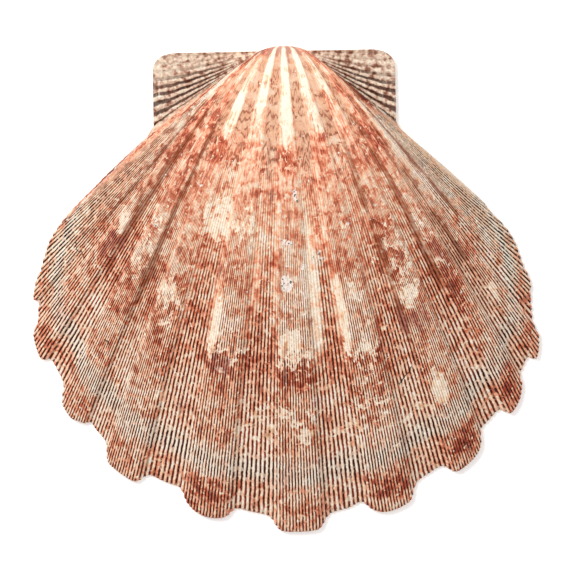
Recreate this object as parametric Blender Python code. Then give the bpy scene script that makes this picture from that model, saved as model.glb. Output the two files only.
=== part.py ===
"""One valve of a large ribbed scallop, lying on its margin with the outer face up.

The valve grows the way the animal lays it down: every growth line is a smaller copy of the
margin, turned up about the hinge line by an angle that rises with the logarithm of how much
smaller it is.  A place on the valve is named by its fan place, counted in ribs from the middle
rib (-10 at one end of the hinge, 10 at the other), and by its growth (0 at the beak, 1 at the
margin).  Lengths are in metres, +Z is up, +X runs along the hinge and +Y from margin to beak.
"""

from math import radians

import bmesh
import bpy
import numpy as np

MM = 0.001

# The disc's margin, seen from above and without its lobes.  Each row: fan place, then how far
# the margin lies aside (+X) and ahead (-Y) of the beak, in millimetres.
DISC_STATIONS = (
    (-8, -32.4, 19.6),
    (-7, -44.3, 30.5),
    (-6, -55.3, 42.4),
    (-5, -59.8, 55.6),
    (-4, -59.2, 68.0),
    (-3, -51.4, 84.8),
    (-2, -40.0, 97.8),
    (-1, -20.3, 108.5),
    (0, 1.8, 112.5),
    (1, 23.7, 107.9),
    (2, 42.0, 96.8),
    (3, 53.6, 83.1),
    (4, 58.6, 70.8),
    (5, 57.7, 57.1),
    (6, 52.5, 43.4),
    (7, 40.3, 30.6),
    (8, 27.8, 20.0),
)
DISC_END = 8.0  # fan place where the disc meets the ear
HINGE = 10.0  # fan place of the hinge line
EAR_PLACES = (8.15, 8.6, 9.1, 9.5, 9.7, 9.85, 9.95, 10.0)
SAMPLES_A_RIB = 8

EAR_LEFT = 31.1 * MM  # from the beak to the -X ear's outer edge
EAR_RIGHT = 26.6 * MM
EAR_DEPTH = 17.3 * MM  # length of that edge
EAR_CORNER = (5.0 * MM, 4.2 * MM)  # the rounded corner's size along the hinge and along the edge
EAR_RISE = 0.12  # the ear's share of the turn that lifts the disc

# Growth
TURN = 0.62  # radians of turn about the hinge for each e-fold of growth
# How much wider, for its length, the valve was when it was small, by fan place.
SPREAD = ((0.0, 0.28), (2.0, 0.28), (3.0, 0.24), (4.0, 0.15), (5.0, 0.1), (7.0, 0.1), (8.0, 0.22))
GROWTH_RINGS = (0.06, 0.09, 0.13, 0.18, 0.25, 0.33, 0.42, 0.52, 0.62, 0.72, 0.81, 0.89, 0.95, 1.0)

# Ribs.  RIB_STRENGTH is their share of the full size, by fan place.
RIB_SQUARENESS = 2.6  # higher makes flatter rib tops and steeper flanks
RIB_WIDENING = 0.12  # above 0, ribs are wider than the gaps between them
RIB_REACH = 1.95 * MM  # a rib's end stands this far out of the mean margin
RIB_ARCH = 1.1 * MM  # and arches this far off the ground
RIB_STRENGTH = ((2.5, 1.0), (4.0, 0.75), (5.0, 0.4), (6.0, 0.0))
GAP_FLAT = 0.25  # share of the wave, from its low end, that stays flat on the ground

# Walls
HINGE_WALL = 1.8 * MM  # height of the outer face over the inner one at the hinge and ears
RIM_WALL = 1.1 * MM  # height of the outer edge above the ground at the margin
RIM_FOOT = 1.2 * MM  # width of the flat that the margin stands on
RIM_BEVEL = 0.5 * MM
INNER_RIB_SHARE = 0.7  # the inner face's ribs against the outer face's
INNER_SQUARENESS = 1.4
HINGE_PLATE = 4.5 * MM  # depth of the plate under the beak, from the hinge line to the hollow
BEAK_CAP = ((0.6, 0.25 * MM), (0.0, 0.35 * MM))  # the beak's closed end: size, bulge to +Y


def smooth(low, high, value):
    """0 below low, 1 above high, and an S-curve between them."""
    t = np.clip((value - low) / (high - low), 0.0, 1.0)
    return t * t * (3.0 - 2.0 * t)


def curve_through(places, values, at):
    """A cubic through the stations whose slope at each is the mean slope of its neighbours."""
    places, values = np.asarray(places, float), np.asarray(values, float)
    slope = np.gradient(values, places)
    k = np.clip(np.searchsorted(places, at, side="right") - 1, 0, len(places) - 2)
    span = places[k + 1] - places[k]
    t = (at - places[k]) / span
    rise = values[k + 1] - values[k]
    a = slope[k] * span - rise
    b = rise - slope[k + 1] * span
    return values[k] + rise * t + t * (1 - t) * (a * (1 - t) + b * t)


def margin_point(fan):
    """The margin of disc and ears without its lobes: how far aside and ahead of the beak."""
    places, aside, ahead = np.array(DISC_STATIONS).T
    on_disc = np.clip(fan, -DISC_END, DISC_END)
    disc_aside = curve_through(places, aside * MM, on_disc)
    disc_ahead = curve_through(places, ahead * MM, on_disc)
    # An ear's edge runs straight back to the hinge and rounds off in a quarter ellipse.
    ear_length = np.where(fan < 0, EAR_LEFT, EAR_RIGHT)
    to_hinge = np.clip((np.abs(fan) - DISC_END) / (HINGE - DISC_END), 0.0, 1.0)
    ear_ahead = EAR_DEPTH * (1.0 - to_hinge)
    into_corner = np.clip(1.0 - ear_ahead / EAR_CORNER[1], 0.0, 1.0)
    ear_aside = ear_length - EAR_CORNER[0] * (1.0 - np.sqrt(1.0 - into_corner**2))
    on_ear = np.abs(fan) > DISC_END
    aside = np.where(on_ear, np.sign(fan) * ear_aside, disc_aside)
    return aside, np.where(on_ear, ear_ahead, disc_ahead)


def by_place(rows, fan):
    """A value that runs straight between rows of (fan place, value), alike on both sides."""
    places, values = zip(*rows)
    return np.interp(np.abs(fan), places, values)


def rib_wave(fan, squareness):
    """1 on a rib, -1 between ribs: a cosine squeezed flat at top and bottom."""
    return np.tanh(squareness * (np.cos(2.0 * np.pi * fan) + RIB_WIDENING))


def rib_arch(fan):
    """Height of the margin over the ground: nothing between ribs, RIB_ARCH under a rib."""
    lifted = smooth(-1.0 + 2.0 * GAP_FLAT, 1.0, rib_wave(fan, RIB_SQUARENESS))
    return RIB_ARCH * by_place(RIB_STRENGTH, fan) * lifted


def grown(fan, growth, reach_out, axis_back):
    """A point of a growth line: the margin's point shrunk and turned up about the hinge.

    The margin's point first moves reach_out further from the beak.  The turn is about a line
    axis_back in front of the hinge.
    """
    aside, ahead = margin_point(fan)
    stretch = 1.0 + reach_out / np.hypot(aside, ahead)
    aside, ahead = aside * stretch, ahead * stretch - axis_back
    arch = rib_arch(fan)
    turn = -TURN * np.log(growth)
    on_ear = smooth(DISC_END - 0.25, DISC_END + 0.15, np.abs(fan))
    forward = ahead * np.cos(turn) - arch * np.sin(turn)
    forward = forward + (np.maximum(forward, 0.0) - forward) * on_ear
    x = growth * (1.0 + by_place(SPREAD, fan) * (1.0 - growth)) * aside
    y = -axis_back - growth * forward
    z = growth * (ahead * np.sin(turn) + arch * np.cos(turn)) * (1.0 - (1.0 - EAR_RISE) * on_ear)
    return x, y, z


def rib_lobe(fan):
    """How far the margin stands out past its mean line: RIB_REACH at a rib, less between."""
    return RIB_REACH * rib_wave(fan, RIB_SQUARENESS) * by_place(RIB_STRENGTH, fan)


def outer_point(fan, growth):
    x, y, z = grown(fan, growth, rib_lobe(fan), 0.0)
    on_ear = smooth(DISC_END - 0.6, DISC_END, np.abs(fan))
    wall = RIM_WALL + (HINGE_WALL - RIM_WALL) * np.maximum(on_ear, 1.0 - growth**3)
    return x, y, z + wall


def foot_point(fan):
    """Outer edge of the flat that the margin stands on."""
    return grown(fan, 1.0, rib_lobe(fan) - RIM_BEVEL, 0.0)


def inner_point(fan, growth):
    shallow = RIB_REACH * INNER_RIB_SHARE * rib_wave(fan, INNER_SQUARENESS) * by_place(RIB_STRENGTH, fan)
    lobe = shallow + (rib_lobe(fan) - shallow) * smooth(0.85, 1.0, growth)
    on_ear = smooth(DISC_END - 0.8, DISC_END + 0.3, np.abs(fan))
    axis_back = HINGE_PLATE * (1.0 - on_ear)
    x, y, z = grown(fan, growth, lobe - RIM_BEVEL - RIM_FOOT, axis_back)
    return x, y, z * (1.0 - on_ear)


def fan_places():
    """Samples across the whole margin, from one hinge end to the other."""
    step = 1.0 / SAMPLES_A_RIB
    disc = np.arange(-DISC_END, DISC_END + step / 2, step)
    return np.concatenate([-np.array(EAR_PLACES[::-1]), disc, EAR_PLACES])


def add_ring(bm, points):
    return [bm.verts.new(co) for co in np.stack(points, axis=1)]


def bridge(bm, low, high):
    """Quads between two rings of the same length."""
    for i in range(len(low) - 1):
        bm.faces.new((low[i], low[i + 1], high[i + 1], high[i]))


def close_beak(bm, ring):
    """A low cap over the first outer ring, bulging past the hinge line."""
    points = np.array([v.co for v in ring])
    middle = points.mean(axis=0)
    for size, bulge in BEAK_CAP[:-1]:
        shrunk = middle + (points - middle) * size + (0.0, bulge, 0.0)
        smaller = add_ring(bm, shrunk.T)
        bridge(bm, ring, smaller)
        bm.faces.new((ring[-1], ring[0], smaller[0], smaller[-1]))
        ring = smaller
    tip = bm.verts.new(middle + (0.0, BEAK_CAP[-1][1], 0.0))
    for a, b in zip(ring, ring[1:] + ring[:1]):
        bm.faces.new((a, b, tip))


def close_plate(bm, ring):
    """Fills the inner face's first ring, from the hinge ends towards the middle."""
    left, right = 0, len(ring) - 1
    while right - left > 2:
        bm.faces.new((ring[left], ring[left + 1], ring[right - 1], ring[right]))
        left, right = left + 1, right - 1
    if right - left == 2:
        bm.faces.new((ring[left], ring[left + 1], ring[right]))


def build_valve():
    fans = fan_places()
    bm = bmesh.new()
    outer = [add_ring(bm, outer_point(fans, growth)) for growth in GROWTH_RINGS]
    inner = [add_ring(bm, inner_point(fans, growth)) for growth in GROWTH_RINGS]
    foot = add_ring(bm, foot_point(fans))
    for rings in (outer, inner):
        for low, high in zip(rings, rings[1:]):
            bridge(bm, low, high)
    bridge(bm, outer[-1], foot)
    bridge(bm, foot, inner[-1])
    # The straight back edge along the hinge, on both sides of the beak and under it.
    for end in (0, -1):
        for k in range(len(GROWTH_RINGS) - 1):
            bm.faces.new((outer[k][end], outer[k + 1][end], inner[k + 1][end], inner[k][end]))
        bm.faces.new((outer[-1][end], foot[end], inner[-1][end]))
    bm.faces.new((outer[0][0], outer[0][-1], inner[0][-1], inner[0][0]))
    close_beak(bm, outer[0])
    close_plate(bm, inner[0])
    bmesh.ops.recalc_face_normals(bm, faces=bm.faces)
    stand_on_origin(bm)
    mesh = bpy.data.meshes.new("scallop_valve")
    bm.to_mesh(mesh)
    bm.free()
    mesh.shade_smooth()
    mesh.set_sharp_from_angle(angle=radians(40.0))
    return mesh


def stand_on_origin(bm):
    """Puts the middle of the valve's box over the origin, with its margin on z = 0."""
    points = np.array([v.co for v in bm.verts])
    low, high = points.min(axis=0), points.max(axis=0)
    shift = (-(low[0] + high[0]) / 2, -(low[1] + high[1]) / 2, -low[2])
    bmesh.ops.translate(bm, verts=bm.verts, vec=shift)


def shell_material():
    material = bpy.data.materials.new("shell_outer")
    material.use_nodes = True
    shader = material.node_tree.nodes["Principled BSDF"]
    shader.inputs["Base Color"].default_value = (0.58, 0.29, 0.20, 1.0)
    shader.inputs["Roughness"].default_value = 0.5
    shader.inputs["Metallic"].default_value = 0.0
    return material


def main():
    for obj in list(bpy.data.objects):
        bpy.data.objects.remove(obj)
    valve = bpy.data.objects.new("scallop_valve", build_valve())
    valve.data.materials.append(shell_material())
    bpy.context.scene.collection.objects.link(valve)


main()
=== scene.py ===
"""One valve of a large ribbed scallop on a white light table, outer face up."""

from math import cos, pi, radians, sin

import bmesh
import bpy
import numpy as np
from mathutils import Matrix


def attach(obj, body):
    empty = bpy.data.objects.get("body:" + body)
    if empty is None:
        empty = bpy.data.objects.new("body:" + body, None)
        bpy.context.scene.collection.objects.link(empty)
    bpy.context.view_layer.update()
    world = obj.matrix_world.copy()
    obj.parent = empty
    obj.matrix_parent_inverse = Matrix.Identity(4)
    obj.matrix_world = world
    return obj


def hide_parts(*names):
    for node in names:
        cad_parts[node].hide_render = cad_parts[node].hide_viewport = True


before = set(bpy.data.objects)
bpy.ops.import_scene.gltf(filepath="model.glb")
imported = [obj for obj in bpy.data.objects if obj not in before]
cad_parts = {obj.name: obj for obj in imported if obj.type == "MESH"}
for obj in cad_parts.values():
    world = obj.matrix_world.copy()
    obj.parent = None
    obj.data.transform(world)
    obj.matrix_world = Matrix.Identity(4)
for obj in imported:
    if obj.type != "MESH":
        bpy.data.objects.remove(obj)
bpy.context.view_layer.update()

# ---------------------------------------------------------------------------------------------
# The valve: one piece of calcite, grown line after line at its margin, so that every growth line
# is a smaller margin turned up about the hinge.  It has eleven broad flat-topped ribs, about 250
# fine riblets, and two ears beside the beak.

MM = 0.001
BEAK = (0.480 * MM, 56.589 * MM)  # where the beak's tip lies from the part's origin

# A place is named by its fan place (ribs counted from the middle one, 8 where the disc meets an
# ear, 10 at the hinge's end) and its growth (0 at the beak, 1 at the margin).
# Fan place, then how far the margin lies aside (+X) and ahead (-Y) of the beak, in millimetres.
MARGIN = (
    (-8, -32.4, 19.6),
    (-7, -44.3, 30.5),
    (-6, -55.3, 42.4),
    (-5, -59.8, 55.6),
    (-4, -59.2, 68.0),
    (-3, -51.4, 84.8),
    (-2, -40.0, 97.8),
    (-1, -20.3, 108.5),
    (0, 1.8, 112.5),
    (1, 23.7, 107.9),
    (2, 42.0, 96.8),
    (3, 53.6, 83.1),
    (4, 58.6, 70.8),
    (5, 57.7, 57.1),
    (6, 52.5, 43.4),
    (7, 40.3, 30.6),
    (8, 27.8, 20.0),
)
DISC_END = 8.0  # fan place where the disc meets the ear
HINGE = 10.0
EAR_LEFT, EAR_RIGHT, EAR_DEPTH = 31.1 * MM, 26.6 * MM, 17.3 * MM
EAR_CORNER = (5.0 * MM, 4.2 * MM)
EAR_RISE = 0.12  # the ear's share of the height that the turn gives the disc

TURN = 0.62  # radians of turn about the hinge for each e-fold of growth
# How much wider the first growth lines are than the margin's own shape: fan place, share.
SPREAD = ((0, 0.28), (2, 0.28), (3, 0.24), (4, 0.15), (5, 0.1), (7, 0.1), (8, 0.22))
BEAK_TUCK = 0.6  # share of the beak's curl past the hinge line that shows

RIB_SQUARENESS = 2.8  # higher makes flatter rib tops and steeper flanks
CREST_SQUARENESS = 5.0  # of what lies on a rib's top
RIB_WIDENING = 0.12
RIB_REACH, RIB_ARCH = 1.95 * MM, 1.1 * MM
# How strongly a rib shows: fan place, share.
RIB_STRENGTH = ((2.5, 1.0), (4, 0.75), (5, 0.4), (6, 0.0))
GAP_FLAT = 0.25  # share of a rib's rise over which the margin still rests on the table
# Where the margin is nicked between a rib and its gap: fan place, depth in mm.
NICKS = (
    (-4.7, 1.1),
    (-2.8, 1.7),
    (-1.25, 1.3),
    (-0.76, 0.9),
    (0.75, 1.6),
    (2.25, 0.9),
    (3.2, 1.0),
    (4.85, 1.6),
    (6.25, 2.2),
)
NICK_HALF = 0.13  # half the fan width of a nick

HINGE_WALL, RIM_WALL, RIM_FOOT, RIM_BEVEL = 1.8 * MM, 1.1 * MM, 1.2 * MM, 0.5 * MM
INNER_RIB_SHARE, INNER_SQUARENESS = 0.7, 1.4  # the hollow's ribs are shallower and rounder
HINGE_PLATE = 4.5 * MM  # from the hinge line to the hollow

# Riblets for each unit of fan place, and how many more there are on a rib's top.
RIBLETS = (
    (-10, 5.0),
    (-9, 4.6),
    (-8.1, 3.0),
    (-8, 9),
    (-5.5, 8),
    (-4.5, 10),
    (-3.5, 15),
    (-2, 20),
    (2, 19),
    (2.6, 13),
    (3.5, 10),
    (4.5, 7),
    (5.5, 8),
    (8, 9),
    (8.1, 3.0),
    (9, 4.6),
    (10, 5.0),
)
RIBLETS_ON_RIB = ((-5, 1), (-4, 4), (-3, 8), (0, 9), (2, 9), (3, 6), (4, 5))
RIBLET_HEIGHT = 0.32  # against the riblet's own width
WIDEST_RIBLET = 1.5 * MM
COLUMNS_A_RIBLET = 4
# Riblets of the +X shoulder bend outwards as they near the margin, and an ear's bend to the hinge.
BEND, EAR_SWEEP = 0.4, 1.2

# The growth lines of the outer grid, closer at the beak and at the halt, and of the hollow's grid.
OUTER_GROWTH = np.concatenate(
    [
        np.geomspace(0.03, 0.2, 12, endpoint=False),
        np.linspace(0.2, 0.88, 56, endpoint=False),
        np.linspace(0.88, 0.95, 9, endpoint=False),
        np.linspace(0.95, 1.0, 5),
    ]
)
INNER_GROWTH = np.concatenate([np.geomspace(0.06, 0.3, 8, endpoint=False), np.linspace(0.3, 1.0, 17)])
RING_GROWTH, RING_STEP = 0.915, 0.25 * MM  # a halt in growth leaves a small step


def smooth(low, high, value):
    """0 below low, 1 above high, and an S-curve between them."""
    t = np.clip((value - low) / (high - low), 0.0, 1.0)
    return t * t * (3.0 - 2.0 * t)


def by_place(rows, place):
    """A value that runs straight between rows of (place, value), alike on both sides."""
    places, values = zip(*rows)
    return np.interp(np.abs(place), places, values)


def curve_through(places, values, at):
    """A cubic through the stations whose slope at each is the mean of the slopes beside it."""
    slope = np.gradient(values, places)
    k = np.clip(np.searchsorted(places, at, side="right") - 1, 0, len(places) - 2)
    span = places[k + 1] - places[k]
    t = (at - places[k]) / span
    rise = values[k + 1] - values[k]
    a = slope[k] * span - rise
    b = rise - slope[k + 1] * span
    return values[k] + rise * t + t * (1 - t) * (a * (1 - t) + b * t)


def margin_point(fan):
    """How far aside and ahead of the beak the margin lies: the stations' curve on the disc, and
    on an ear a straight edge back to the hinge that rounds off in a quarter ellipse."""
    places, aside, ahead = np.array(MARGIN, float).T
    on_disc = np.clip(fan, -DISC_END, DISC_END)
    disc_aside = curve_through(places, aside * MM, on_disc)
    disc_ahead = curve_through(places, ahead * MM, on_disc)
    ear_length = np.where(fan < 0, EAR_LEFT, EAR_RIGHT)
    ear_ahead = EAR_DEPTH * (1 - np.clip((np.abs(fan) - DISC_END) / (HINGE - DISC_END), 0, 1))
    into_corner = np.clip(1 - ear_ahead / EAR_CORNER[1], 0, 1)
    ear_aside = ear_length - EAR_CORNER[0] * (1 - np.sqrt(1 - into_corner**2))
    on_ear = np.abs(fan) > DISC_END
    aside = np.where(on_ear, np.sign(fan) * ear_aside, disc_aside)
    return aside, np.where(on_ear, ear_ahead, disc_ahead)


def rib_wave(fan, squareness):
    """1 on a rib, -1 between ribs: a cosine squeezed flat at top and bottom."""
    return np.tanh(squareness * (np.cos(2 * pi * fan) + RIB_WIDENING))


def rib_arch(fan):
    """Height of the margin over the table: nothing between ribs, RIB_ARCH under a rib."""
    lifted = smooth(2 * GAP_FLAT - 1, 1, rib_wave(fan, RIB_SQUARENESS))
    return RIB_ARCH * by_place(RIB_STRENGTH, fan) * lifted


def rib_lobe(fan, growth):
    """How far the growth line stands out past its mean line at ribs, less at each nick."""
    lobe = RIB_REACH * rib_wave(fan, RIB_SQUARENESS) * by_place(RIB_STRENGTH, fan)
    for place, depth in NICKS:
        away = (fan - place) / NICK_HALF
        lobe = lobe - depth * MM * np.exp(-(away**2)) * smooth(0.9, 1.0, growth)
    return lobe


def grown(fan, growth, reach_out, axis_back):
    """A growth line's point: the margin's point, reach_out further from the beak, shrunk by
    growth and turned up by -TURN log(growth) about a line axis_back in front of the hinge."""
    aside, ahead = margin_point(fan)
    stretch = 1 + reach_out / np.hypot(aside, ahead)
    aside, ahead = aside * stretch, ahead * stretch - axis_back
    arch = rib_arch(fan)
    turn = -TURN * np.log(growth)
    on_ear = smooth(DISC_END - 0.25, DISC_END + 0.15, np.abs(fan))
    forward = ahead * np.cos(turn) - arch * np.sin(turn)
    forward = np.where(forward < 0, forward * BEAK_TUCK * (1 - on_ear), forward)
    x = growth * (1 + by_place(SPREAD, fan) * (1 - growth)) * aside
    y = -axis_back - growth * forward
    z = growth * (ahead * np.sin(turn) + arch * np.cos(turn)) * (1 - (1 - EAR_RISE) * on_ear)
    return np.stack([x, y, z], axis=-1)


def outer_point(fan, growth):
    """The outer face: a growth line lifted by the wall's height, which thins to the margin, and
    by the small step where growth came to a halt."""
    point = grown(fan, growth, rib_lobe(fan, growth), 0.0)
    on_ear = smooth(DISC_END - 0.6, DISC_END, np.abs(fan))
    wall = RIM_WALL + (HINGE_WALL - RIM_WALL) * np.maximum(on_ear, 1 - growth**3)
    halt = smooth(0.8, RING_GROWTH, growth) - smooth(RING_GROWTH, RING_GROWTH + 0.008, growth)
    point[..., 2] += wall + RING_STEP * (1 - on_ear) * halt
    return point


def inner_point(fan, growth):
    """The hollow face: the same growth with shallower ribs, turned about the hinge plate's
    front edge, and flat under the ears."""
    shallow = RIB_REACH * INNER_RIB_SHARE * rib_wave(fan, INNER_SQUARENESS)
    shallow = shallow * by_place(RIB_STRENGTH, fan)
    lobe = shallow + (rib_lobe(fan, growth) - shallow) * smooth(0.85, 1, growth)
    on_ear = smooth(DISC_END - 0.8, DISC_END + 0.3, np.abs(fan))
    point = grown(fan, growth, lobe - RIM_BEVEL - RIM_FOOT, HINGE_PLATE * (1 - on_ear))
    point[..., 2] *= 1 - on_ear
    return point


def riblet_lines():
    """The grid's columns: the riblet count summed along the fan, read back at every quarter of
    a riblet.  Returns each column's fan place at the margin and its riblet number."""
    place = np.linspace(-HINGE, HINGE, 8001)
    on_rib = (0.5 + 0.5 * rib_wave(place, CREST_SQUARENESS)) * by_place(RIB_STRENGTH, place)
    density = np.interp(place, *zip(*RIBLETS)) + np.interp(place, *zip(*RIBLETS_ON_RIB)) * on_rib
    count = np.concatenate([[0], np.cumsum((density[1:] + density[:-1]) / 2 * np.diff(place))])
    whole = round(count[-1])
    number = np.arange(whole * COLUMNS_A_RIBLET + 1) / COLUMNS_A_RIBLET
    return np.interp(number, count * whole / count[-1], place), number


def bent(line, growth):
    """Fan place of a riblet line at a growth: lines of the +X shoulder start nearer the middle,
    and an ear's lines start nearer the disc."""
    share = smooth(4.4, 5.9, line) * (1 - smooth(6.3, DISC_END, line))
    into_ear = np.clip((np.abs(line) - DISC_END) / (HINGE - DISC_END), 0, 1)
    swept = into_ear ** (1 + EAR_SWEEP * (1 - growth))
    on_ear = np.sign(line) * (DISC_END + (HINGE - DISC_END) * swept)
    return np.where(into_ear > 0, on_ear, line - BEND * share * (1 - growth**3))


def unit_normals(points):
    """Unit normals of a grid of points, from the cross product of its two differences."""
    normal = np.cross(np.gradient(points, axis=0), np.gradient(points, axis=1))
    return normal / np.maximum(np.linalg.norm(normal, axis=-1, keepdims=True), 1e-12)


def riblet_relief(points, number, growth):
    """Height of the riblets on a grid: the size of a cosine of the riblet number, a rounded crest
    at each whole number and a sharp groove half-way, about its mean and by the riblet's width."""
    step = np.linalg.norm(np.gradient(points, axis=1), axis=-1)
    width = np.minimum(step * COLUMNS_A_RIBLET, WIDEST_RIBLET)
    profile = np.abs(np.cos(pi * number)) - 0.64
    return RIBLET_HEIGHT * width * profile * smooth(0.1, 0.3, growth)


line, number = riblet_lines()
number_grid, growth_grid = np.meshgrid(number, OUTER_GROWTH)
fan_grid = bent(np.meshgrid(line, OUTER_GROWTH)[0], growth_grid)
outer = outer_point(fan_grid, growth_grid)
out_of_face = unit_normals(outer)
out_of_face *= np.sign(out_of_face[..., 2:].mean())
outer += out_of_face * riblet_relief(outer, number_grid, growth_grid)[..., None]

# The rim: a quarter round from the outer edge down to the flat that the margin stands on.
foot = grown(line, np.ones_like(line), rib_lobe(line, 1.0) - RIM_BEVEL, 0.0)
edge = outer[-1]
rim = []
for turn in (radians(35), radians(65)):
    inwards = 1 - cos(turn)
    rim.append(edge + (foot - edge) * [inwards, inwards, sin(turn)])
rim.append(foot)
outer = np.concatenate([outer, np.array(rim)])
rows, columns = outer.shape[:2]
outer[..., 2] = np.maximum(outer[..., 2], 0.0)

riblet_step = slice(None, None, COLUMNS_A_RIBLET)
inner_fan, inner_growth = np.meshgrid(line[riblet_step], INNER_GROWTH[::-1])
inner = inner_point(inner_fan, inner_growth)
inner_rows, inner_columns = inner.shape[:2]

# The plate under the beak: straight lines across the inner face's last ring.
PLATE_STEPS = 9
half = inner_columns // 2
across = np.linspace(0, 1, PLATE_STEPS + 1)[1:-1, None, None]
left = inner[-1, :half]
right = inner[-1, : -half - 1 : -1]
plate = left * (1 - across) + right * across  # (steps, half, 3)

# A triangular pit for the ligament, widening from the beak into the hollow.
PIT_HALF, PIT_LONG, PIT_DEEP = 2.3 * MM, 6.0 * MM, 1.2 * MM


def pitted(points):
    """Lifts the underside into the ligament's pit: a trough whose half width grows with the
    distance from the hinge line."""
    ahead = -points[..., 1]
    width = PIT_HALF * np.clip(ahead / PIT_LONG, 0.02, 1) + 0.15 * MM
    inside = smooth(0, 0.45, 1 - np.abs(points[..., 0]) / width)
    along = smooth(0.1 * MM, 1.0 * MM, ahead) * (1 - smooth(PIT_LONG, PIT_LONG + 1.2 * MM, ahead))
    points[..., 2] += PIT_DEEP * inside * along
    return points


flat_height = np.concatenate([inner[..., 2].ravel(), plate[..., 2].ravel()])
inner = pitted(inner)
plate = pitted(plate)
pit = (np.concatenate([inner[..., 2].ravel(), plate[..., 2].ravel()]) - flat_height) / PIT_DEEP

tip = outer[0].mean(axis=0) + [0, 0.15 * MM, 0]
points = np.concatenate([outer.reshape(-1, 3), inner.reshape(-1, 3), plate.reshape(-1, 3), [tip]])
points[:, :2] += BEAK

outer_at = np.arange(rows * columns).reshape(rows, columns)
inner_at = rows * columns + np.arange(inner_rows * inner_columns).reshape(inner_rows, inner_columns)
plate_at = inner_at.max() + 1 + np.arange((PLATE_STEPS - 1) * half).reshape(PLATE_STEPS - 1, half)
tip_at = len(points) - 1


def quads(at):
    """The faces between neighbouring points of a grid of point numbers."""
    corners = [at[:-1, :-1], at[:-1, 1:], at[1:, 1:], at[1:, :-1]]
    return np.stack(corners, axis=-1).reshape(-1, 4).tolist()


outer_faces = quads(outer_at)
inner_faces = quads(inner_at)
# The rim's flat: five points of the fine foot line meet two of the hollow's.
foot_line = outer_at[-1]
flat = [
    [*foot_line[k * COLUMNS_A_RIBLET : (k + 1) * COLUMNS_A_RIBLET + 1], inner_at[0, k + 1], inner_at[0, k]]
    for k in range(inner_columns - 1)
]
cross_lines = np.concatenate([inner_at[-1:, :half], plate_at, inner_at[-1:, : -half - 1 : -1]])
plate_faces = quads(cross_lines)
middle = [[*cross_lines[:, -1]]] if inner_columns % 2 == 0 else [[*cross_lines[:, -1], inner_at[-1, half]]]
hinge_edge = [[*outer_at[:, end], *inner_at[:, end]] for end in (0, -1)]
under_beak = [[outer_at[0, 0], outer_at[0, -1], *cross_lines[::-1, 0]]]
beak_line = outer_at[0]
cap = [[a, b, tip_at] for a, b in zip(beak_line, [*beak_line[1:], beak_line[0]])]

mesh = bpy.data.meshes.new("scallop_shell")
all_faces = [outer_faces, cap, inner_faces, flat, plate_faces, middle, hinge_edge, under_beak]
mesh.from_pydata(points, [], [[int(i) for i in face] for part in all_faces for face in part])
OUTSIDE, INSIDE = 0, 1
slots = np.repeat(
    [OUTSIDE, OUTSIDE, INSIDE, INSIDE, INSIDE, INSIDE, OUTSIDE, OUTSIDE], [len(part) for part in all_faces]
)
mesh.polygons.foreach_set("material_index", slots.astype(np.int32))
outward = bmesh.new()
outward.from_mesh(mesh)
bmesh.ops.recalc_face_normals(outward, faces=outward.faces)
outward.to_mesh(mesh)
outward.free()
mesh.shade_smooth()
mesh.set_sharp_from_angle(angle=radians(80))
shell = bpy.data.objects.new("scallop_shell", mesh)
bpy.context.scene.collection.objects.link(shell)

# The animal's mantle adds pigment to each line as it lays it down: a little is cream, more is
# peach, salmon and brick.  How much there is along the growth: growth, amount.
PIGMENT = (
    (0.03, 0.40),
    (0.08, 0.34),
    (0.11, 0.26),
    (0.20, 0.26),
    (0.28, 0.34),
    (0.36, 0.38),
    (0.46, 0.38),
    (0.55, 0.36),
    (0.62, 0.36),
    (0.68, 0.42),
    (0.76, 0.33),
    (0.86, 0.26),
    (0.91, 0.22),
    (0.95, 0.38),
    (1.00, 0.36),
)
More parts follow.
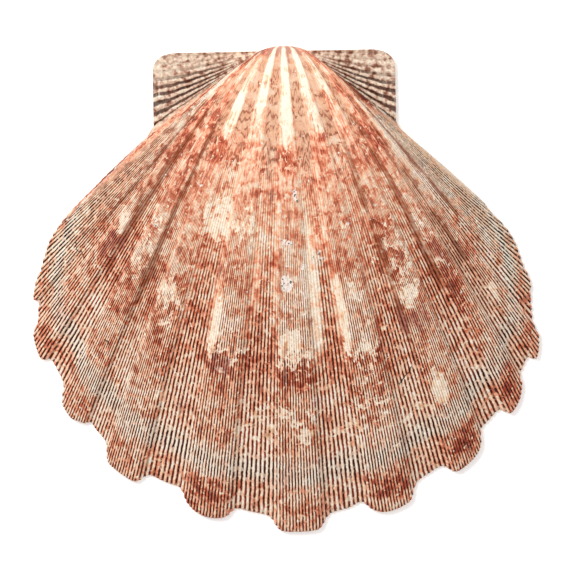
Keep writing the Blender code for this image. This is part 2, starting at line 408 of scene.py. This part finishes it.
# Patches of more or less: fan place, growth, half the width in each, pigment added.
PIGMENT_PATCHES = (
    (-6.3, 0.25, 1.8, 0.2, -0.25),
    (7.4, 0.22, 0.8, 0.12, -0.2),
    (7.3, 0.78, 1.1, 0.32, -0.4),
    (5.5, 0.72, 1.3, 0.3, -0.14),
    (-7.0, 0.38, 1.2, 0.12, 0.25),
    (-4.4, 0.08, 2.2, 0.03, 0.2),
    (-1.0, 0.08, 0.35, 0.025, 0.2),
    (-2.8, 0.16, 0.6, 0.14, 0.1),
    (-4.3, 0.17, 0.9, 0.05, 0.14),
    (1.8, 0.19, 0.45, 0.06, 0.12),
    (4.3, 0.15, 0.8, 0.06, 0.15),
    (3.0, 0.22, 0.35, 0.04, 0.1),
    (-0.5, 0.47, 0.25, 0.03, -0.2),
    (0.34, 0.54, 0.18, 0.15, -0.3),
    (0.0, 0.55, 0.3, 0.12, -0.12),
    (1.02, 0.61, 0.22, 0.08, -0.2),
    (-0.97, 0.61, 0.22, 0.08, -0.15),
    (4.3, 0.36, 0.7, 0.10, -0.3),
    (5.2, 0.47, 0.9, 0.14, -0.3),
    (4.3, 0.52, 0.6, 0.12, -0.15),
    (-2.1, 0.325, 0.42, 0.035, 0.2),
    (0.0, 0.31, 0.30, 0.03, 0.18),
    (1.0, 0.30, 0.3, 0.035, 0.15),
    (2.4, 0.33, 0.8, 0.045, 0.16),
    (3.5, 0.30, 0.40, 0.12, 0.22),
    (-4.0, 0.33, 0.55, 0.12, 0.22),
    (-2.95, 0.33, 0.28, 0.14, 0.16),
    (3.0, 0.25, 0.5, 0.08, 0.18),
    (0.0, 0.70, 1.6, 0.03, 0.07),
    (-3.85, 0.66, 0.3, 0.06, 0.15),
    (2.9, 0.64, 0.40, 0.10, 0.16),
    (1.9, 0.52, 0.35, 0.12, 0.08),
    (-1.0, 0.94, 0.34, 0.035, 0.14),
    (1.05, 0.94, 0.34, 0.035, 0.18),
    (2.0, 0.94, 0.34, 0.035, 0.22),
    (2.95, 0.94, 0.3, 0.04, 0.24),
    (6.3, 0.27, 1.3, 0.09, 0.4),
    (6.4, 0.40, 0.7, 0.16, 0.4),
    (5.7, 0.30, 0.8, 0.12, 0.2),
    (-7.0, 0.87, 1.1, 0.16, 0.33),
    (4.6, 0.10, 2.8, 0.05, 0.22),
    (-4.2, 0.10, 2.8, 0.06, 0.25),
    (-6.8, 0.35, 1.2, 0.1, 0.33),
)
# Where the lines are all but bare: the same five numbers, the last now a share.
CREAM_PATCHES = (
    (-1.0, 0.13, 0.24, 0.115, 1.3),
    (0.0, 0.16, 0.24, 0.14, 1.3),
    (1.0, 0.12, 0.22, 0.09, 1.2),
    (1.05, 0.24, 0.22, 0.035, 0.6),
    (-2.0, 0.235, 0.3, 0.055, 1.3),
    (-2.9, 0.13, 0.4, 0.06, 0.6),
    (-3.5, 0.22, 0.25, 0.11, 0.5),
    (2.0, 0.16, 0.25, 0.07, 0.7),
    (-1.52, 0.44, 0.36, 0.06, 0.75),
    (-0.9, 0.43, 0.3, 0.04, 0.45),
    (-1.20, 0.615, 0.07, 0.065, 1.05),
    (-0.05, 0.635, 0.20, 0.035, 0.9),
    (0.79, 0.60, 0.07, 0.08, 1.15),
    (1.05, 0.565, 0.14, 0.025, 0.6),
    (1.95, 0.615, 0.22, 0.03, 0.8),
    (1.93, 0.815, 0.13, 0.035, 1.2),
    (3.9, 0.80, 0.16, 0.025, 0.8),
    (-3.95, 0.60, 0.25, 0.03, 0.9),
    (-2.0, 0.60, 0.3, 0.02, 0.5),
    (-0.5, 0.82, 0.3, 0.05, 0.35),
    (0.6, 0.84, 0.25, 0.05, 0.4),
    (1.5, 0.84, 0.2, 0.06, 0.35),
    (0.1, 0.81, 0.14, 0.012, 0.9),
    (7.3, 0.80, 0.8, 0.2, 0.5),
)
# Ragged cream zigzags across a rib's top.
CHEVRON_PATCHES = (
    (-1.0, 0.665, 0.33, 0.04, 1.0),
    (0.0, 0.665, 0.28, 0.035, 1.0),
    (1.0, 0.67, 0.3, 0.05, 0.7),
    (-2.0, 0.62, 0.35, 0.06, 0.8),
    (2.0, 0.56, 0.35, 0.1, 0.8),
    (2.9, 0.55, 0.3, 0.1, 0.6),
    (0.0, 0.78, 0.3, 0.05, 0.5),
    (1.0, 0.78, 0.3, 0.06, 0.5),
    (-3.0, 0.55, 0.4, 0.1, 0.6),
)
# Small chips in the outermost layer, chalk white with black specks.
CHIP_PATCHES = (
    (0.13, 0.375, 0.10, 0.016, 1.0),
    (-0.08, 0.455, 0.12, 0.014, 1.1),
    (0.20, 0.498, 0.05, 0.018, 1.0),
    (-0.08, 0.525, 0.13, 0.022, 1.15),
    (0.5, 0.50, 0.15, 0.012, 0.8),
    (1.25, 0.44, 0.10, 0.010, 0.8),
    (-3.1, 0.52, 0.10, 0.012, 0.8),
    (1.75, 0.45, 0.08, 0.012, 0.8),
)
# Where later layers have filled the grooves.
FILLED_PATCHES = (
    (0.37, 0.56, 0.10, 0.13, 0.8),
    (-0.62, 0.54, 0.07, 0.07, 0.7),
    (0.52, 0.46, 0.20, 0.03, 0.7),
    (0.75, 0.60, 0.10, 0.10, 0.5),
    (-1.22, 0.60, 0.10, 0.08, 0.5),
)
# Scratches: fan place and growth where each starts and ends.
SCRATCHES = (
    (-5.1, 0.815, -4.35, 0.785),
    (1.38, 0.792, 1.66, 0.768),
    (-3.02, 0.795, -2.86, 0.788),
)
# Stains over the crests: rust brown, bare grey-beige, and mauve.
RUST_PATCHES = (
    (6.0, 0.235, 1.3, 0.09, 1.0),
    (-3.9, 0.50, 0.3, 0.2, 0.3),
)
GREY_PATCHES = (
    (5.4, 0.50, 1.2, 0.16, 0.7),
    (6.6, 0.80, 1.4, 0.35, 0.8),
    (3.5, 0.62, 0.4, 0.3, 0.5),
    (-5.9, 0.70, 1.2, 0.3, 0.5),
    (0.55, 0.24, 0.22, 0.13, 0.6),
    (-0.5, 0.26, 0.2, 0.12, 0.6),
    (1.5, 0.22, 0.2, 0.1, 0.5),
)
MAUVE_PATCHES = (
    (7.5, 0.36, 0.8, 0.28, 1.0),
    (2.95, 0.62, 0.25, 0.06, 0.35),
    (1.9, 0.67, 0.4, 0.03, 0.4),
    (-3.85, 0.66, 0.3, 0.05, 0.5),
    (-1.0, 0.70, 0.35, 0.02, 0.4),
)


def patches(fan, growth, rows):
    """The sum of several soft ellipses, each full over its middle and 0 past its edge."""
    total = np.zeros_like(fan)
    for place, age, half_fan, half_growth, strength in rows:
        away = np.hypot((fan - place) / half_fan, (growth - age) / half_growth)
        total = total + strength * smooth(1.25, 0.55, away)
    return total


# FLANK also places the band of painted shade on each side rib's middle-facing flank; BAND_HALF is half
# that band's width.
FLANK, BAND_HALF = 0.29, 0.11  # fan places from a rib's middle to its flank, and half a band


def painted_flank_shade(fan, growth):
    """Painted shade: a smooth rust-brown band on the flank of each side rib that faces the middle, a bell
    curve.
    """
    place = np.abs(fan)
    away = (place - np.round(place) + FLANK) / BAND_HALF
    sides = (smooth(1.4, 1.8, fan) + smooth(2.3, 2.6, -fan)) * (1 - smooth(4.9, 5.2, place))
    return np.exp(-(away**2)) * sides * smooth(0.2, 0.35, growth) * (1 - smooth(0.62, 0.8, growth))


def outer_fields(fan, growth):
    """Every pigment field on the outer grid, by name, and the painted shade on the side ribs' flanks:
    products of S-curves along the growth and across the fan, and sums of patches."""
    place = np.abs(fan)
    ribness = 0.5 + 0.5 * rib_wave(fan, CREST_SQUARENESS) * by_place(RIB_STRENGTH, fan)
    on_ear = smooth(DISC_END - 0.1, DISC_END + 0.1, place)
    disc = 1 - on_ear
    shoulder = smooth(4.0, 5.5, place)
    late = growth + 0.022 * ribness
    ring = smooth(0.868, 0.896, late) * (1 - smooth(0.918, 0.94, late)) * (0.75 + 0.25 * shoulder)
    off_flank = ((place - np.round(place)) / FLANK) ** 2 - 1
    flank = np.exp(-(off_flank**2) / 0.12) * by_place(RIB_STRENGTH, fan)
    groove = smooth(0.2, 0.66, growth) + shoulder * smooth(0.1, 0.4, growth)
    groove = groove + smooth(5.5, 6.5, fan) * smooth(0.08, 0.22, growth)
    groove = np.clip(groove, 0, 1) * (1 - 0.5 * flank * (1 - smooth(0.55, 0.75, growth)))
    groove = groove * (1 - np.clip(patches(fan, growth, FILLED_PATCHES), 0, 1))
    ear_groove = (0.15 + 0.85 * (1 - smooth(8.8, 9.5, place))) * smooth(0.25, 0.5, growth)
    bare = (1 - ribness) * smooth(0.105, 0.085, growth)
    early = smooth(0.05, 0.09, growth) * smooth(0.34, 0.25, growth)
    dull_gap = (1 - ribness) * early * smooth(4.6, 3.4, place)
    amounts = np.interp(growth, *zip(*PIGMENT)) + patches(fan, growth, PIGMENT_PATCHES)
    amounts = amounts - 0.1 * (1 - ribness) * smooth(0.7, 0.8, growth)
    return {
        "pigment": amounts * disc + 0.3 * on_ear,
        "cream": patches(fan, growth, CREAM_PATCHES) * disc,
        "chevron": patches(fan, growth, CHEVRON_PATCHES) * disc,
        "chip": patches(fan, growth, CHIP_PATCHES),
        # Rust stains, plus painted shade on the flanks of side ribs that face the middle.
        "rust_and_flank_shade": (patches(fan, growth, RUST_PATCHES) + 0.85 * painted_flank_shade(fan, growth)) * disc,
        "grey": patches(fan, growth, GREY_PATCHES) * disc,
        "mauve": (patches(fan, growth, MAUVE_PATCHES) + bare) * disc,
        "ring": ring * disc,
        "groove": groove * disc + ear_groove * on_ear,
        "gap": 1 - ribness,
        "dull": dull_gap,
        "brown": np.maximum(on_ear, shoulder),
        "ear": on_ear,
        "fade": on_ear * (1 - growth) * 2,
    }


def point_attribute(name, values):
    """Stores one number a vertex under a name that materials read."""
    attribute = mesh.attributes.new(name, "FLOAT", "POINT")
    attribute.data.foreach_set("value", np.asarray(values, np.float32).ravel())


# The rim and the foot line carry on the values of the outer face's last growth line.
rim_rows = rows - len(OUTER_GROWTH)
whole_fan = np.concatenate([fan_grid, np.repeat(fan_grid[-1:], rim_rows, axis=0)])
whole_growth = np.concatenate([growth_grid, np.ones((rim_rows, columns))])
plate_and_tip = len(points) - rows * columns - inner_fan.size


def over_all(outside, inside):
    """One value a vertex: the outer grid's, the inner grid's, and 0 on plate and tip."""
    return np.concatenate([outside.ravel(), inside.ravel(), np.zeros(plate_and_tip)])


point_attribute("fan", over_all(whole_fan, inner_fan))
point_attribute("growth", over_all(whole_growth, inner_growth))
number_all = np.concatenate([number_grid, np.repeat(number_grid[-1:], rim_rows, axis=0)])
point_attribute("riblet", over_all(number_all, np.tile(number[riblet_step], (inner_rows, 1))))
point_attribute("pit", np.concatenate([np.zeros(rows * columns), pit, [0]]))
# The closing muscle's print: how far a point lies from its middle, 1 at its edge.
SCAR_AT, SCAR_HALF = (-6.0 * MM, 8.0 * MM), (15.0 * MM, 17.0 * MM)
point_attribute("scar", np.hypot(*((points[:, :2] - SCAR_AT) / SCAR_HALF).T))
for name, values in outer_fields(whole_fan, whole_growth).items():
    point_attribute(name, over_all(values, np.zeros_like(inner_fan)))


def colour(red, green, blue):
    """A paint given as 0-255 display values, as the linear colour that shaders take."""
    part = np.array([red, green, blue]) / 255
    linear = np.where(part < 0.04045, part / 12.92, ((part + 0.055) / 1.055) ** 2.4)
    return (*linear, 1.0)


class Recipe:
    """A material being wired: each call adds a node and returns its output."""

    def __init__(self, name):
        self.material = bpy.data.materials.new(name)
        self.material.use_nodes = True
        self.tree = self.material.node_tree
        self.shader = self.tree.nodes["Principled BSDF"]

    def put(self, socket, value):
        """Links an output to a socket, or sets the socket's own value."""
        if isinstance(value, bpy.types.NodeSocket):
            self.tree.links.new(value, socket)
        else:
            socket.default_value = value

    def read(self, name):
        """The number stored at each vertex under a name."""
        node = self.tree.nodes.new("ShaderNodeAttribute")
        node.attribute_name = name
        return node.outputs["Fac"]

    def object_place(self):
        """Where a point lies on the piece, in metres."""
        return self.tree.nodes.new("ShaderNodeTexCoord").outputs["Object"]

    def math(self, operation, *values):
        """One step of arithmetic on outputs or plain numbers."""
        node = self.tree.nodes.new("ShaderNodeMath")
        node.operation = operation
        for socket, value in zip(node.inputs, values):
            self.put(socket, value)
        return node.outputs[0]

    def times(self, first, second):
        """first x second."""
        return self.math("MULTIPLY", first, second)

    def plus(self, value, share, base):
        """base + share x value."""
        return self.math("MULTIPLY_ADD", value, share, base)

    def less(self, value, share):
        """1 - share x value."""
        return self.plus(value, -share, 1.0)

    def centred(self, value):
        """A noise of 0 to 1, moved to run from -0.5 to 0.5."""
        return self.math("SUBTRACT", value, 0.5)

    def vector(self, x, y):
        """A flat place, for noise over fan and growth instead of metres."""
        node = self.tree.nodes.new("ShaderNodeCombineXYZ")
        for socket, value in zip(node.inputs, (x, y)):
            self.put(socket, value)
        return node.outputs[0]

    def noise(self, place, scale, detail=2.0, distortion=0.0):
        """Noise of about 0 to 1, with so many features along one unit of the place."""
        node = self.tree.nodes.new("ShaderNodeTexNoise")
        self.put(node.inputs["Vector"], place)
        node.inputs["Scale"].default_value = scale
        node.inputs["Detail"].default_value = detail
        node.inputs["Distortion"].default_value = distortion
        return node.outputs["Fac"]

    def between(self, value, low, high):
        """0 at low, 1 at high, with an S-curve between them."""
        node = self.tree.nodes.new("ShaderNodeMapRange")
        node.interpolation_type = "SMOOTHSTEP"
        self.put(node.inputs["Value"], value)
        node.inputs["From Min"].default_value = low
        node.inputs["From Max"].default_value = high
        return node.outputs["Result"]

    def mix(self, share, first, second, blend="MIX"):
        """The first colour with a share of the second laid over it."""
        node = self.tree.nodes.new("ShaderNodeMix")
        node.data_type = "RGBA"
        node.blend_type = blend
        self.put(node.inputs["Factor"], share)
        self.put(node.inputs["A"], first)
        self.put(node.inputs["B"], second)
        return node.outputs["Result"]

    def ramp(self, value, stops):
        """Colours along a value: stops are (place, colour)."""
        node = self.tree.nodes.new("ShaderNodeValToRGB")
        self.put(node.inputs["Fac"], value)
        elements = node.color_ramp.elements
        elements[0].position, elements[0].color = stops[0]
        elements[1].position, elements[1].color = stops[-1]
        for place, paint in stops[1:-1]:
            elements.new(place).color = paint
        return node.outputs["Color"]

    def bump(self, height, depth):
        """The surface's direction when a height of 1 stands depth above a height of 0."""
        node = self.tree.nodes.new("ShaderNodeBump")
        node.inputs["Distance"].default_value = depth
        self.put(node.inputs["Height"], height)
        return node.outputs["Normal"]


# Colour of a riblet's crest by the amount of pigment.
AMOUNTS = (
    (0.00, colour(255, 246, 228)),
    (0.14, colour(255, 229, 201)),
    (0.28, colour(255, 208, 175)),
    (0.42, colour(247, 171, 136)),
    (0.56, colour(218, 122, 88)),
    (0.70, colour(178, 76, 52)),
    (0.85, colour(116, 44, 26)),
    (1.00, colour(56, 21, 8)),
)
MOST_ON_CREST = 0.86
# Paints of the stains, of the marks and grooves, and of the halt's ring and the chips. The rust paint also
# paints shade on the side ribs' middle-facing flanks.
RUST_AND_FLANK_SHADE, GREY, MAUVE = colour(150, 84, 52), colour(230, 196, 166), colour(186, 116, 104)
HONEY, TAN, UMBER = colour(248, 204, 146), colour(220, 166, 132), colour(142, 72, 46)
# In the grooves, BROWN and BLACK stand partly for pigment and partly for painted shade.
BROWN, BLACK, CHALK = colour(54, 23, 8), colour(20, 12, 6), colour(252, 240, 224)
CHIP_WHITE = colour(255, 250, 244)
# Colour of an ear's crest by a noise, and the faint shading of the finest noise.
EAR_PAINTS = (
    (0.25, colour(146, 98, 78)),
    (0.42, colour(206, 168, 146)),
    (0.55, colour(230, 202, 180)),
    (0.70, colour(252, 236, 214)),
)
FINE_SHADING = ((0.3, colour(228, 220, 214)), (0.7, colour(255, 255, 255)))
CLOUD, SPOT, GRAIN, FINE = 150, 430, 900, 1700  # noise sizes, as features along a metre
LAMELLA_DEPTH = 0.06 * MM
SCRATCH_HALF = 0.0026  # half a scratch's width, in growth


class OuterFace(Recipe):
    """Pigment on riblet crests and grooves.  Noise at several sizes is added to the amount of
    pigment; flecks, zigzags and marks are cut out of noise with crisp edges."""

    def __init__(self):
        super().__init__("outer_face")
        self.fan, self.growth = self.read("fan"), self.read("growth")
        self.riblet, self.ear = self.read("riblet"), self.read("ear")
        place = self.object_place()
        self.cloud = self.centred(self.noise(place, CLOUD, 3))
        self.spot = self.centred(self.noise(place, SPOT, 3, 0.6))
        self.grain = self.centred(self.noise(place, GRAIN, 2))
        self.fine = self.noise(place, FINE, 2)
        self.streak = self.along(2.2, 14, 2)
        self.dash = self.along(1.3, 62, 1, 0.5)
        self.fleck = self.along(3.2, 60, 2, 0.9)

    def along(self, riblets, lines, detail=1, distortion=0.0):
        """Noise that follows the riblets: a feature spans so many riblets, and so many lie
        between beak and margin."""
        grid = self.vector(self.times(self.riblet, 1 / riblets), self.times(self.growth, lines))
        return self.centred(self.noise(grid, 1.0, detail, distortion))

    def stripes(self, wave, phase):
        """The size of a sine or cosine: one peak for each whole step of the phase."""
        return self.math("ABSOLUTE", self.math(wave, self.times(phase, pi)))

    def amount(self):
        """Amount of pigment: its field, and noise from clouds down to dashes on one riblet."""
        grid = self.vector(self.times(self.fan, 0.7), self.times(self.growth, 42))
        bands = self.centred(self.noise(grid, 1.0, 2))
        amount = self.plus(self.cloud, 0.5, self.read("pigment"))
        amount = self.plus(self.centred(self.between(self.spot, -0.1, 0.1)), 0.22, amount)
        amount = self.plus(self.streak, 0.6, amount)
        amount = self.plus(self.centred(self.between(self.dash, -0.14, 0.14)), 0.22, amount)
        return self.plus(bands, 0.4, amount)

    def cream(self):
        """Bare patches with ragged edges, and stray flecks between them."""
        ragged = self.plus(self.fleck, 2.2, self.plus(self.spot, 1.6, self.read("cream")))
        return self.between(ragged, 0.42, 0.62)

    def flecks(self):
        """Small pale flecks, none near the beak."""
        crisp = self.between(self.plus(self.grain, 1.3, self.fleck), 0.16, 0.26)
        return self.times(crisp, self.between(self.growth, 0.16, 0.3))

    def zigzags(self):
        """Growth lines bent to a wave across the rib, kept where a noise is high."""
        wave = self.math("PINGPONG", self.plus(self.cloud, 1.6, self.times(self.fan, 3.4)), 0.5)
        level = self.plus(wave, 1.0, self.times(self.growth, 19.0))
        level = self.plus(self.dash, 1.3, self.plus(self.spot, 0.8, level))
        line = self.between(self.stripes("SINE", level), 0.5, 0.32)
        kept = self.between(self.plus(self.fleck, 2.2, self.read("chevron")), 0.35, 0.55)
        return self.times(line, kept)

    def marks(self):
        """Thin brown marks along the growth lines, between the ribs near the beak."""
        grid = self.vector(self.times(self.fan, 7.0), self.times(self.growth, 12.0))
        swayed = self.plus(self.noise(grid, 1.0, 1), 4.0, self.times(self.growth, 48.0))
        line = self.between(self.stripes("SINE", swayed), 0.7, 0.3)
        near = self.times(self.between(self.growth, 0.10, 0.16), self.between(self.growth, 0.46, 0.30))
        broken = self.between(self.plus(self.spot, 3.4, self.times(self.read("gap"), 0.75)), 0.55, 0.8)
        return self.times(self.times(near, line), broken)

    def grooves(self, cream, zigzag):
        """Riblet grooves from the cosine of the riblet number, broken into dashes by the growth
        lines that bridge them and filled under cream; on an ear, freckles too."""
        wander = self.plus(self.spot, 0.5, self.plus(self.centred(self.fine), 0.2, self.riblet))
        ridge = self.stripes("COSINE", wander)
        bridges = self.between(self.along(1.6, 80), 0.05, 0.14)
        groove = self.times(self.between(ridge, 0.88, 0.5), self.read("groove"))
        groove = self.times(groove, self.less(self.times(bridges, self.less(self.ear, 0.85)), 0.6))
        freckles = self.times(self.ear, self.between(self.plus(self.grain, 0.7, self.spot), 0.11, 0.17))
        groove = self.times(groove, self.less(self.ear, 0.12))
        groove = self.math("MAXIMUM", groove, self.times(freckles, 0.16))
        groove = self.times(groove, self.less(cream, 0.65))
        return self.times(groove, self.less(zigzag, 0.7))

    def stained(self, paint, under, field, strength):
        """A field's colour over what lies under it, with its edge moved about by noise."""
        moved = self.plus(self.streak, 1.8, self.plus(self.spot, 1.2, self.read(field)))
        return self.mix(self.times(self.between(moved, 0.2, 0.8), strength), under, paint)

    def crest(self, amount, honey, marks):
        """Colour of the riblets' crests: pigment, then the stains with the painted shade on the side ribs'
        flanks, the marks and the halt's ring.
        """
        crest = self.ramp(self.math("MINIMUM", amount, MOST_ON_CREST), AMOUNTS)
        crest = self.mix(self.times(honey, 0.4), crest, HONEY)
        spotted = self.plus(self.spot, 0.8, self.plus(self.read("fade"), -0.02, 0.56))
        ear_paint = self.ramp(self.plus(self.grain, 1.6, spotted), EAR_PAINTS)
        crest = self.mix(self.ear, crest, ear_paint)
        crest = self.stained(GREY, crest, "grey", 0.7)
        crest = self.mix(self.times(self.read("dull"), self.plus(self.spot, 0.8, 0.72)), crest, TAN)
        crest = self.mix(self.times(marks, 0.75), crest, UMBER)
        # Rust stains, and the painted shade on the side ribs' middle-facing flanks.
        crest = self.stained(RUST_AND_FLANK_SHADE, crest, "rust_and_flank_shade", 0.7)
        crest = self.stained(MAUVE, crest, "mauve", 0.7)
        return self.mix(self.times(self.read("ring"), 0.6), crest, CHALK)

    def valley(self, amount):
        """Colour of the grooves, partly pigment and partly painted shade: the crest's pigment and more,
        brown at the sides, black in the ring.
        """
        valley = self.ramp(self.plus(amount, 0.45, 0.77), AMOUNTS)
        valley = self.mix(self.times(self.read("brown"), 0.8), valley, BROWN)
        return self.mix(self.read("ring"), valley, BLACK)

    def worn(self, tint):
        """Chips in the outermost layer with their black specks, and thin dark scratches."""
        field = self.read("chip")
        chip = self.between(self.plus(self.grain, 3.2, self.plus(self.spot, 1.6, field)), 0.74, 1.0)
        tint = self.mix(self.times(chip, 0.85), tint, CHIP_WHITE)
        crisp = self.between(self.plus(self.centred(self.fine), 0.8, self.grain), 0.13, 0.17)
        dark = self.times(self.between(field, 0.2, 0.7), crisp)
        for start, early, stop, late in SCRATCHES:
            rise = self.times(self.math("SUBTRACT", self.fan, start), (late - early) / (stop - start))
            over = self.math("SUBTRACT", self.growth, early)
            away = self.math("SUBTRACT", over, self.plus(self.spot, 0.015, rise))
            line = self.between(self.math("ABSOLUTE", away), SCRATCH_HALF, 0.4 * SCRATCH_HALF)
            begun = self.between(self.fan, start, start + 0.03)
            ended = self.between(self.fan, stop, stop - 0.03)
            dark = self.math("MAXIMUM", dark, self.times(self.times(begun, ended), line))
        return self.mix(self.times(dark, 0.85), tint, BLACK)


def outer_face():
    """Crests and grooves laid over each other, chipped and faintly shaded; half matt, with the
    growth lines' thin lamellae as bump, worn smoother towards the beak."""
    face = OuterFace()
    cream, zigzag = face.cream(), face.zigzags()
    stain = face.between(face.plus(face.spot, 1.0, face.streak), 0.06, 0.2)
    amount = face.times(face.amount(), face.less(face.times(cream, face.less(stain, 0.5)), 0.85))
    amount = face.times(amount, face.less(face.flecks(), 0.6))
    amount = face.times(amount, face.less(zigzag, 0.85))
    crest = face.crest(amount, face.times(cream, stain), face.marks())
    # The grooves' darker colour is partly pigment and partly painted shade in the grooves.
    tint = face.worn(face.mix(face.grooves(cream, zigzag), crest, face.valley(amount)))
    unworn = face.between(face.growth, 0.1, 0.45)
    tint = face.mix(face.plus(unworn, 0.7, 0.3), tint, face.ramp(face.fine, FINE_SHADING), "MULTIPLY")
    lamellae = face.noise(face.vector(face.times(face.fan, 2.0), face.times(face.growth, 180.0)), 1.0, 2)
    height = face.plus(face.times(face.fine, unworn), 0.2, lamellae)
    face.put(face.shader.inputs["Base Color"], tint)
    face.put(face.shader.inputs["Roughness"], face.plus(face.fine, 0.25, 0.4))
    face.put(face.shader.inputs["Specular IOR Level"], 0.2)
    face.put(face.shader.inputs["Normal"], face.bump(height, LAMELLA_DEPTH))
    return face.material


# Colour of the hollow face by growth, of the closing muscle's print and its edge, of the riblets
# that show through at the margin, and of the ligament's pit.
PORCELAIN = (
    (0.00, colour(196, 160, 140)),
    (0.12, colour(222, 196, 178)),
    (0.30, colour(244, 232, 220)),
    (0.72, colour(248, 240, 230)),
    (0.84, colour(240, 220, 204)),
    (0.92, colour(214, 166, 146)),
    (0.97, colour(176, 112, 92)),
    (1.0, colour(146, 86, 68)),
)
PRINT, PRINT_EDGE = colour(232, 214, 200), colour(176, 140, 122)
FRILL, LIGAMENT = colour(120, 62, 46), colour(70, 42, 28)


def inner_face():
    """Porcelain: white with a cream and rose flush, brown towards the margin and under the beak,
    the print of the closing muscle, and the dark pit of the ligament."""
    face = Recipe("inner_face")
    growth, pit = face.read("growth"), face.read("pit")
    place = face.object_place()
    cloud = face.centred(face.noise(place, 60, 4))
    grain = face.centred(face.noise(place, 600, 2))
    ray_grid = face.vector(face.times(face.read("fan"), 4.0), face.times(growth, 1.5))
    rays = face.centred(face.noise(ray_grid, 1.0, 2))
    tint = face.ramp(face.plus(rays, 0.08, face.plus(cloud, 0.16, growth)), PORCELAIN)
    # The muscle's print: an oval whose rim is a thin darker line, with a duller middle.
    scar = face.plus(cloud, 0.25, face.read("scar"))
    middle = face.between(scar, 1.02, 0.96)
    line = face.times(face.between(scar, 0.93, 1.0), face.between(scar, 1.07, 1.0))
    tint = face.mix(face.times(middle, 0.5), tint, PRINT)
    tint = face.mix(face.times(line, 0.22), tint, PRINT_EDGE)
    # The riblets of the outer face show through at the thin margin.
    ridge = face.math("ABSOLUTE", face.math("COSINE", face.times(face.read("riblet"), pi)))
    frill = face.times(face.between(ridge, 0.9, 0.3), face.between(growth, 0.95, 1.0))
    tint = face.mix(face.times(frill, 0.7), tint, FRILL)
    tint = face.mix(pit, tint, LIGAMENT)
    gloss = face.plus(grain, 0.2, face.plus(middle, 0.12, 0.22))
    face.put(face.shader.inputs["Base Color"], tint)
    face.put(face.shader.inputs["Roughness"], face.plus(pit, 0.4, gloss))
    face.put(face.shader.inputs["Normal"], face.bump(face.plus(line, -0.6, grain), 0.1 * MM))
    return face.material


mesh.materials.append(outer_face())
mesh.materials.append(inner_face())
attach(shell, "root")
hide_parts("scallop_valve")

# ---------------------------------------------------------------------------------------------
# The light table that the valve lies on: a flat sheet of white acrylic, lit softly from below.
# Its top is a hair below the margin's foot, so that the two never share a plane.

TABLE_HALF, TABLE_TOP = 4.0, -0.02 * MM
table = bpy.data.meshes.new("light_table")
signs = ((-1, -1), (1, -1), (1, 1), (-1, 1))
table.from_pydata([(x * TABLE_HALF, y * TABLE_HALF, TABLE_TOP) for x, y in signs], [], [(0, 1, 2, 3)])
acrylic = Recipe("white_acrylic")
acrylic.shader.inputs["Base Color"].default_value = (0.9, 0.9, 0.9, 1.0)
acrylic.shader.inputs["Roughness"].default_value = 0.6
acrylic.shader.inputs["Emission Color"].default_value = (1.0, 1.0, 1.0, 1.0)
acrylic.shader.inputs["Emission Strength"].default_value = 0.3
table.materials.append(acrylic.material)
floor = bpy.data.objects.new("light_table", table)
bpy.context.scene.collection.objects.link(floor)

# ---------------------------------------------------------------------------------------------
# Soft studio light: a white room that lights every side alike, and one large round soft box
# above and to the left, which models the ribs.

world = bpy.data.worlds.new("white_room")
bpy.context.scene.world = world
world.use_nodes = True
world.node_tree.nodes["Background"].inputs["Color"].default_value = (1.0, 1.0, 1.0, 1.0)
world.node_tree.nodes["Background"].inputs["Strength"].default_value = 0.7

SOFT_BOX = (-0.5, 0.45, 1.1)  # metres from the shell
box_light = bpy.data.lights.new("soft_box", "AREA")
box_light.shape = "DISK"
box_light.size = 0.5
box_light.energy = 9.6
soft_box = bpy.data.objects.new("soft_box", box_light)
bpy.context.scene.collection.objects.link(soft_box)
soft_box.location = SOFT_BOX
soft_box.rotation_euler = (-soft_box.location).to_track_quat("-Z", "Y").to_euler()

# ---------------------------------------------------------------------------------------------
# The camera looks straight down on the valve through a long lens, from so far that the picture
# is FRAME_WIDTH wide at the table.  It is turned a little about its own axis.

LENS, SENSOR = 600.0, 36.0
FRAME_WIDTH = 137.1 * MM
AIM = (0.6 * MM, 0.2 * MM)
ROLL = radians(-1.09)
camera_data = bpy.data.cameras.new("camera")
camera_data.lens, camera_data.sensor_width = LENS, SENSOR
camera = bpy.data.objects.new("camera", camera_data)
bpy.context.scene.collection.objects.link(camera)
camera.location = (*AIM, FRAME_WIDTH * LENS / SENSOR)
camera.rotation_euler = (0, 0, ROLL)
camera_data.clip_end = 20.0
bpy.context.scene.camera = camera
bpy.context.scene.view_settings.view_transform = "Standard"
